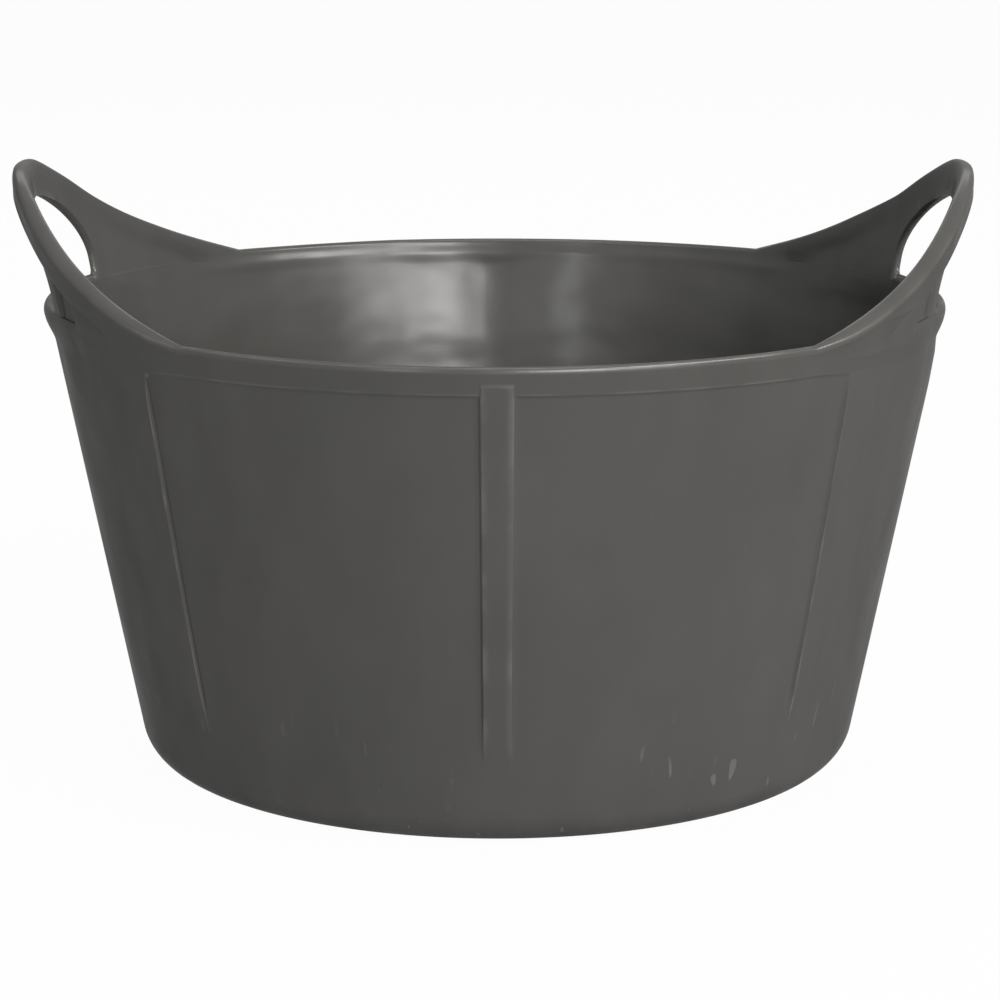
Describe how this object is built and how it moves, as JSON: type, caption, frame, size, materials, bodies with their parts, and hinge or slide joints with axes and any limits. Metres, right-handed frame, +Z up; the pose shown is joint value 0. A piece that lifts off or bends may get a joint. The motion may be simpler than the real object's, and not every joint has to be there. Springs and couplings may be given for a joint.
{
  "type": "flexible bucket",
  "caption": "Soft conical one-piece bucket with raised bands down the wall, a beaded rim and an upright looped handle at each side, each with a hand hole and a sprung root.",
  "frame": {"origin": "centre of the base, at the level it stands on", "axes": "+Z up through the mouth, X through both handles, -Y towards the front of the bucket"},
  "size_m": [0.407, 0.381, 0.2548],
  "materials": {
    "moulded_plastic": "satin"
  },
  "bodies": {
    "tub": {"floor": "moulded_plastic", "wall": "moulded_plastic", "rim": "moulded_plastic", "right_shoulder_front": "moulded_plastic", "right_shoulder_back": "moulded_plastic", "left_shoulder_front": "moulded_plastic", "left_shoulder_back": "moulded_plastic"},
    "handle_right": {"right_handle": "moulded_plastic"},
    "handle_left": {"left_handle": "moulded_plastic"}
  },
  "joints": [
    {"name": "right_handle_flex", "type": "hinge", "parent": "tub", "child": "handle_right", "pos_m": [0.17794, 0, 0.2011], "axis": [0, -1, 0], "range_deg": [-10, 35], "stiffness_Nm_per_rad": 0.8, "deforming": ["right_shoulder_front", "right_shoulder_back"]},
    {"name": "left_handle_flex", "type": "hinge", "parent": "tub", "child": "handle_left", "pos_m": [-0.17794, 0, 0.2011], "axis": [0, 1, 0], "range_deg": [-10, 35], "stiffness_Nm_per_rad": 0.8, "deforming": ["left_shoulder_front", "left_shoulder_back"]}
  ]
}
